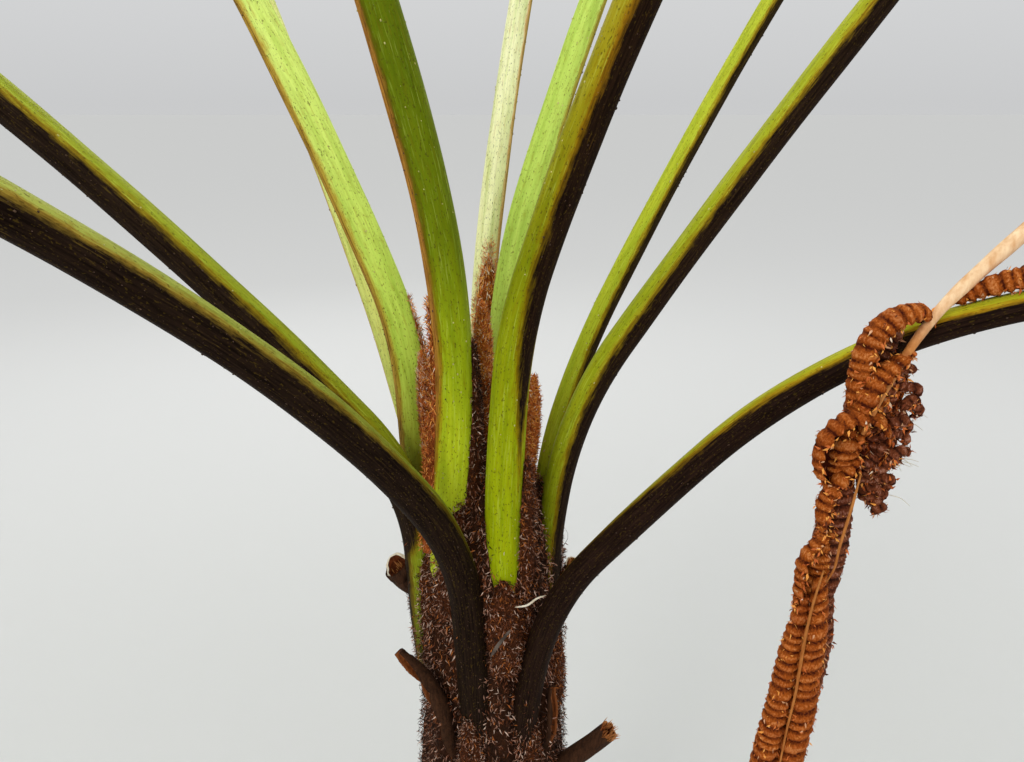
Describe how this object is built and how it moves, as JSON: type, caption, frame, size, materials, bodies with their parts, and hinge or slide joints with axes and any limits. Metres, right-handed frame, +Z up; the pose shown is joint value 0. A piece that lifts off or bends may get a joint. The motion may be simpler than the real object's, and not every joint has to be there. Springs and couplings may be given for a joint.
{
  "type": "tree fern",
  "caption": "Young rough tree fern: short fibrous trunk with old stubs and croziers, arching bare-stalked fronds and a withered frond over one stalk.",
  "frame": {"origin": "middle of the flat cut under the trunk, at ground level", "axes": "+Z up; the front of the plant, where the picture was taken from, faces -Y"},
  "size_m": [3.7498, 2.9088, 1.7295],
  "materials": {
    "bark": "dark brown fibre and leaf bases with curled red-brown scales",
    "stalk": "smooth yellow-green, brown-black on the underside, finely streaked and spotted",
    "leaflet": "mid green leaflets, paler below",
    "crozier": "rust-brown hairy scales",
    "old_stub": "dry brown, torn and hollow at the end",
    "dry_rib": "pale dry straw",
    "withered_leaflet": "rust-orange rolled dry leaflets"
  },
  "bodies": {
    "root": {"blade_back_inner": "leaflet", "blade_back_left_inner": "leaflet", "blade_back_left_outer": "leaflet", "blade_back_left_thin_inner": "leaflet", "blade_back_left_thin_outer": "leaflet", "blade_back_outer": "leaflet", "blade_back_right_inner": "leaflet", "blade_back_right_outer": "leaflet", "blade_centre_left_inner": "leaflet", "blade_centre_left_outer": "leaflet", "blade_centre_right_inner": "leaflet", "blade_centre_right_outer": "leaflet", "blade_front_left_inner": "leaflet", "blade_front_left_outer": "leaflet", "blade_front_right_inner": "leaflet", "blade_front_right_outer": "leaflet", "blade_left_inner": "leaflet", "blade_left_outer": "leaflet", "blade_right_inner": "leaflet", "blade_right_outer": "leaflet", "blade_right_thin_inner": "leaflet", "blade_right_thin_outer": "leaflet", "crozier_left": "crozier", "crozier_middle": "crozier", "crozier_right": "crozier", "stalk_back": "stalk", "stalk_back_left": "stalk", "stalk_back_left_thin": "stalk", "stalk_back_right": "stalk", "stalk_centre_left": "stalk", "stalk_centre_right": "stalk", "stalk_front_left": "stalk", "stalk_front_right": "stalk", "stalk_left": "stalk", "stalk_right": "stalk", "stalk_right_thin": "stalk", "stub_left_cut": "old_stub", "stub_left_dead": "old_stub", "stub_right_broken": "old_stub", "stub_right_dead": "old_stub", "stub_right_small": "old_stub", "trunk": "bark", "withered_coil": "withered_leaflet", "withered_rib": "dry_rib", "withered_rope": "withered_leaflet", "withered_side_rope": "withered_leaflet"}
  },
  "joints": []
}
